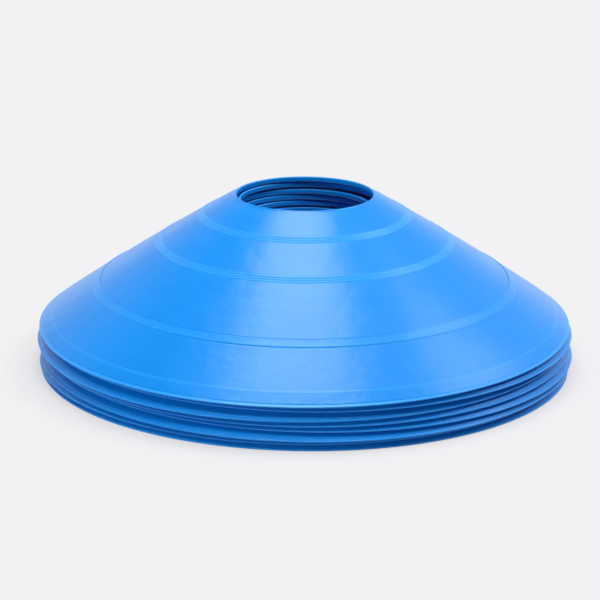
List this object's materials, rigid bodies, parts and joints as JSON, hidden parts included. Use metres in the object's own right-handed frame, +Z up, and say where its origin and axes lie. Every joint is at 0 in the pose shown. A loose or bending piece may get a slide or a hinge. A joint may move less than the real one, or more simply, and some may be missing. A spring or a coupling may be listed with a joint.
{
  "type": "marker disc stack",
  "caption": "Stack of round plastic marker discs, nested one on another, each a shallow cone with a centre hole that lifts off the one below.",
  "frame": {"origin": "middle of the stack's outline in plan, at the surface that the lowest disc stands on", "axes": "+Z up through the centre holes, +X to the right and -Y to the front as seen in the picture"},
  "size_m": [0.2024, 0.2012, 0.0652],
  "materials": {
    "disc_plastic": "satin moulded soft plastic, bright blue"
  },
  "bodies": {
    "disc_1": {"disc_1": "disc_plastic"},
    "disc_2": {"disc_2": "disc_plastic"},
    "disc_3": {"disc_3": "disc_plastic"},
    "disc_4": {"disc_4": "disc_plastic"},
    "disc_5": {"disc_5": "disc_plastic"},
    "disc_6": {"disc_6": "disc_plastic"},
    "disc_7": {"disc_7": "disc_plastic"},
    "disc_8": {"disc_8": "disc_plastic"}
  },
  "joints": [
    {"name": "lift_disc_2", "type": "slide", "parent": "disc_1", "child": "disc_2", "axis": [0, 0, 1], "range_m": [0, 0.06]},
    {"name": "lift_disc_3", "type": "slide", "parent": "disc_2", "child": "disc_3", "axis": [0, 0, 1], "range_m": [0, 0.06]},
    {"name": "lift_disc_4", "type": "slide", "parent": "disc_3", "child": "disc_4", "axis": [0, 0, 1], "range_m": [0, 0.06]},
    {"name": "lift_disc_5", "type": "slide", "parent": "disc_4", "child": "disc_5", "axis": [0, 0, 1], "range_m": [0, 0.06]},
    {"name": "lift_disc_6", "type": "slide", "parent": "disc_5", "child": "disc_6", "axis": [0, 0, 1], "range_m": [0, 0.06]},
    {"name": "lift_disc_7", "type": "slide", "parent": "disc_6", "child": "disc_7", "axis": [0, 0, 1], "range_m": [0, 0.06]},
    {"name": "lift_disc_8", "type": "slide", "parent": "disc_7", "child": "disc_8", "axis": [0, 0, 1], "range_m": [0, 0.06]}
  ]
}
